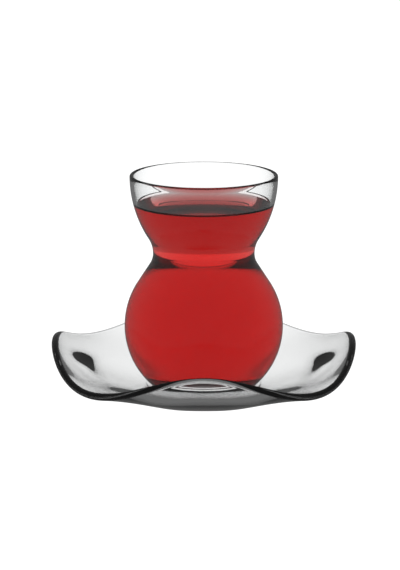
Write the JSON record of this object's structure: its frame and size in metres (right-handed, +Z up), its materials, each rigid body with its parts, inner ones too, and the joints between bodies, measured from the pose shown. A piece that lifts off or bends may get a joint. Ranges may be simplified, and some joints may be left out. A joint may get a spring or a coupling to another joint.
{
  "type": "turkish tea glass",
  "caption": "Waisted, ball-bottomed clear glass of red tea standing in the well of a clear glass saucer with a wavy, lobed rim.",
  "frame": {"origin": "middle of the flat underside of the saucer", "axes": "+Z up along the glass's axis, +X and +Y through two lobes of the saucer"},
  "size_m": [0.1128, 0.1128, 0.083],
  "materials": {
    "saucer_glass": "pressed clear glass, fire polished",
    "tea_glass": "blown clear glass, fire-polished rim",
    "tea": "clear red-brown liquid"
  },
  "bodies": {
    "root": {"saucer": "saucer_glass", "glass": "tea_glass", "tea": "tea"}
  },
  "joints": []
}
